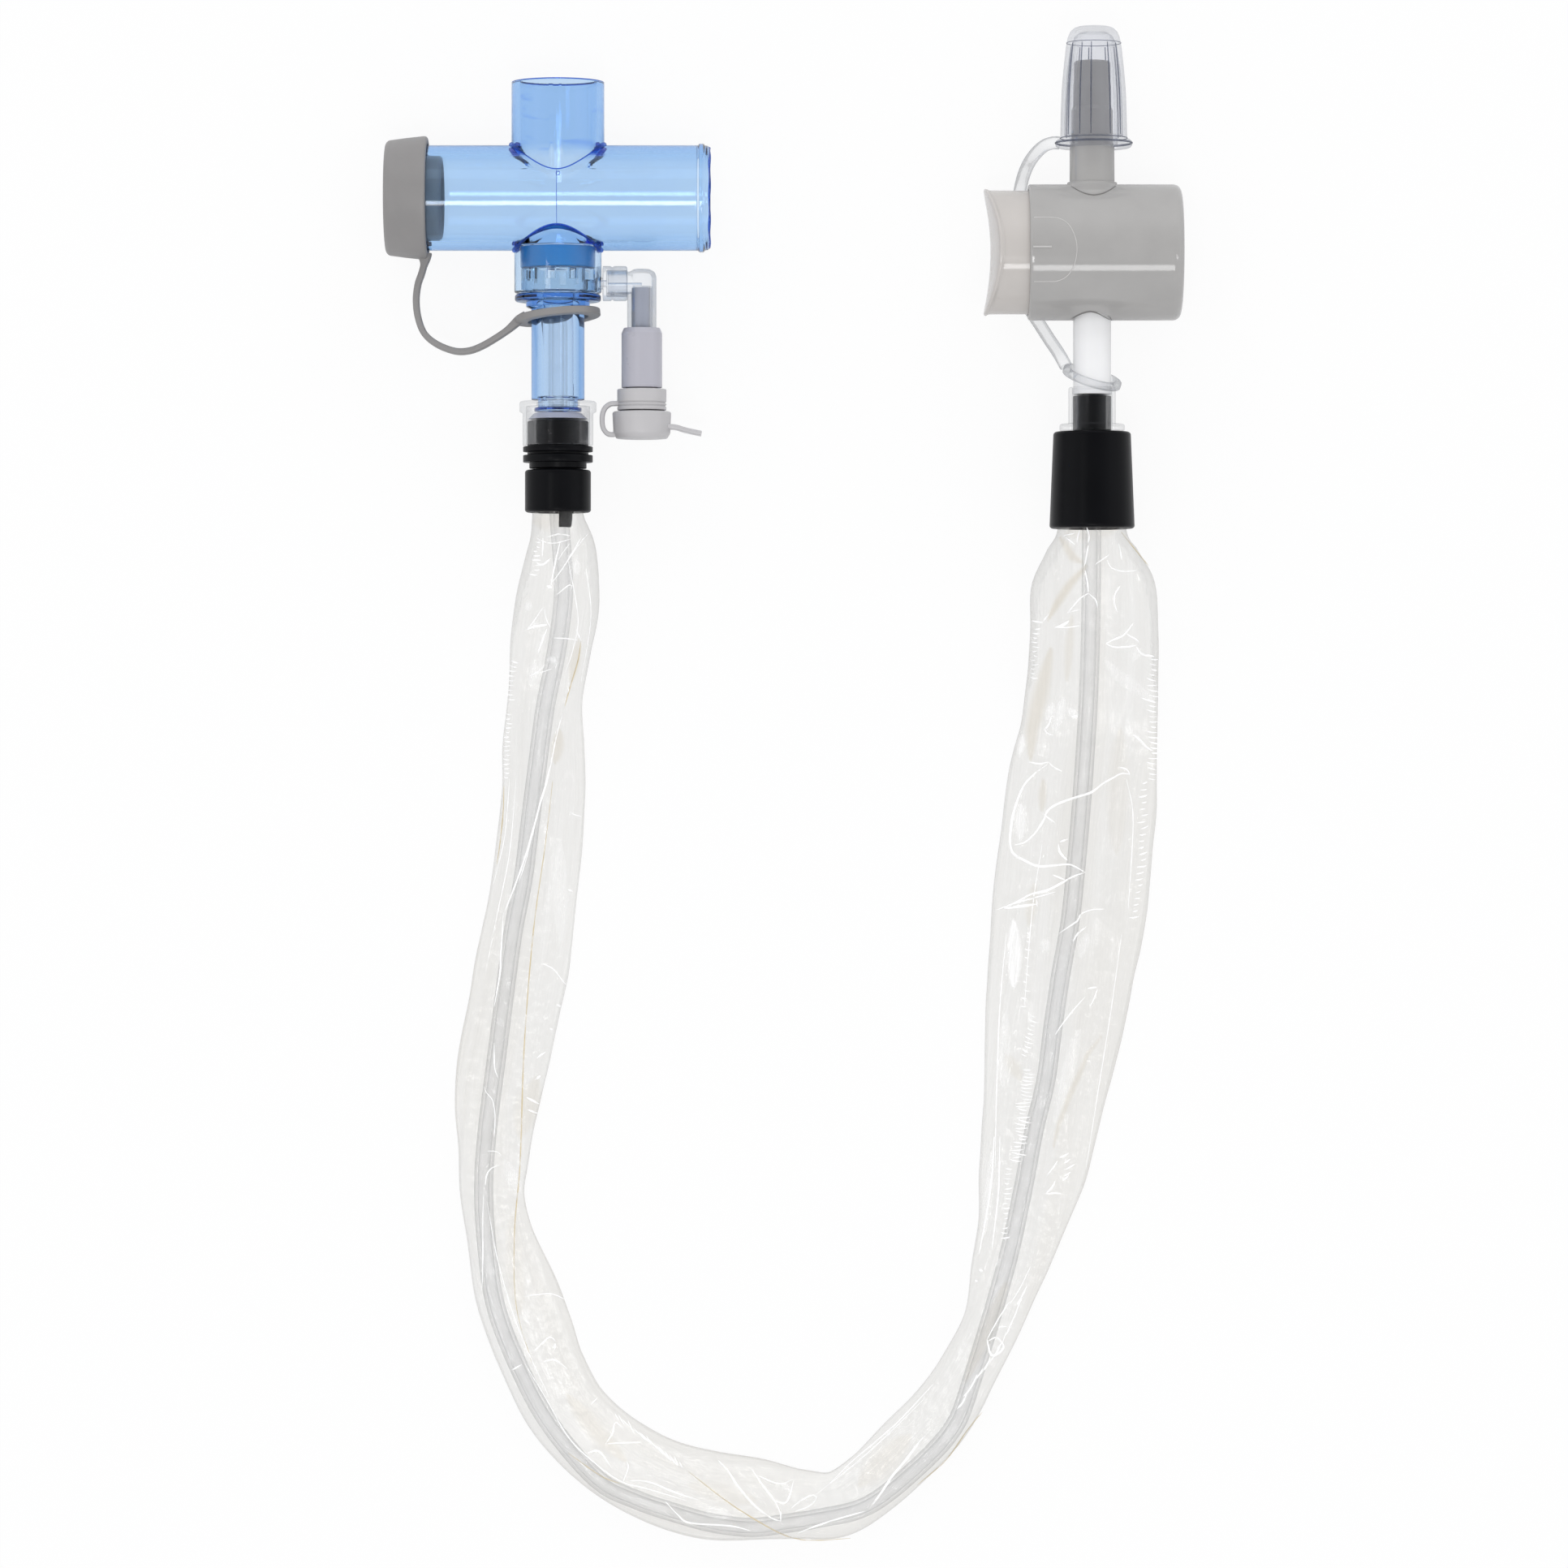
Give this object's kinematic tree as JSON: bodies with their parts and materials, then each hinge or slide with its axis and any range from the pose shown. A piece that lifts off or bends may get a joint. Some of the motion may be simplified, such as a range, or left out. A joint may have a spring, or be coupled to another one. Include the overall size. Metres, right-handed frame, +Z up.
{
  "type": "closed suction catheter",
  "caption": "Closed airway suction catheter: clear tee with cap and flush branch, film sleeve around the catheter, press-button suction valve with fluted cap.",
  "frame": {"origin": "on the table, below the middle of the whole set", "axes": "+Y from the bottom of the sleeve's loop to the two heads, +X from the tee to the valve, +Z up from the table"},
  "size_m": [0.1663, 0.3184, 0.0284],
  "materials": {
    "clear_blue": "clear blue plastic",
    "teal": "soft matt rubber",
    "cap_grey": "soft satin plastic",
    "clear": "clear plastic",
    "tube_grey": "milky grey plastic",
    "lavender": "milky lavender plastic",
    "pale": "pale satin plastic",
    "black": "black gloss plastic",
    "seal_rubber": "black rubber",
    "valve_grey": "grey satin gloss plastic",
    "ivory": "pale ivory plastic",
    "steel": "spring wire",
    "film": "clear creased film",
    "catheter": "milky clear tube"
  },
  "bodies": {
    "valve": {"valve_body": "valve_grey", "valve_neck": "clear", "rear_clamp_collar": "black", "rear_sleeve_plug": "black", "sleeve": "film", "catheter_tube": "catheter", "front_clamp_collar": "black", "front_sleeve_plug": "black", "cone_seal": "tube_grey", "swivel_cup": "clear", "suction_cap_strap": "clear", "suction_cap_ring": "clear", "return_spring": "steel"},
    "head": {"tee_body": "clear_blue", "neck_hub": "clear_blue", "wiper_seal": "teal", "seal_retainer": "clear", "tee_cap_strap": "cap_grey", "tee_cap_ring": "cap_grey", "flush_coupling": "clear", "flush_elbow": "clear", "flush_inner_tube": "tube_grey", "flush_tube": "lavender", "flush_collar": "pale", "flush_cap_strap": "pale"},
    "end_cap": {"tee_cap": "cap_grey"},
    "port_cap": {"flush_cap": "pale"},
    "nipple_cap": {"suction_cap": "clear"},
    "spool": {"valve_spool": "pale", "spool_seal_inner": "seal_rubber", "spool_seal_outer": "seal_rubber"},
    "button": {"thumb_button": "ivory"}
  },
  "joints": [
    {"name": "head_swivel", "type": "hinge", "parent": "valve", "child": "head", "pos_m": [-0.0473, 0.079, 0.0129], "axis": [0, 1, 0], "continuous": true},
    {"name": "tee_cap_pull", "type": "slide", "parent": "head", "child": "end_cap", "axis": [-1, 0, 0], "range_m": [0, 0.013], "deforming": ["tee_cap_strap"]},
    {"name": "flush_cap_pull", "type": "slide", "parent": "head", "child": "port_cap", "axis": [0, -1, 0], "range_m": [0, 0.006], "deforming": ["flush_cap_strap"]},
    {"name": "suction_cap_pull", "type": "slide", "parent": "valve", "child": "nipple_cap", "axis": [0, 1, 0], "range_m": [0, 0.02], "deforming": ["suction_cap_strap"]},
    {"name": "button_press", "type": "slide", "parent": "valve", "child": "spool", "axis": [1, 0, 0], "range_m": [0, 0.005], "stiffness_N_per_m": 600, "deforming": ["return_spring"]},
    {"name": "button_turn", "type": "hinge", "parent": "spool", "child": "button", "pos_m": [0.0456, 0.1111, 0.0142], "axis": [1, 0, 0], "range_deg": [0, 180]}
  ]
}
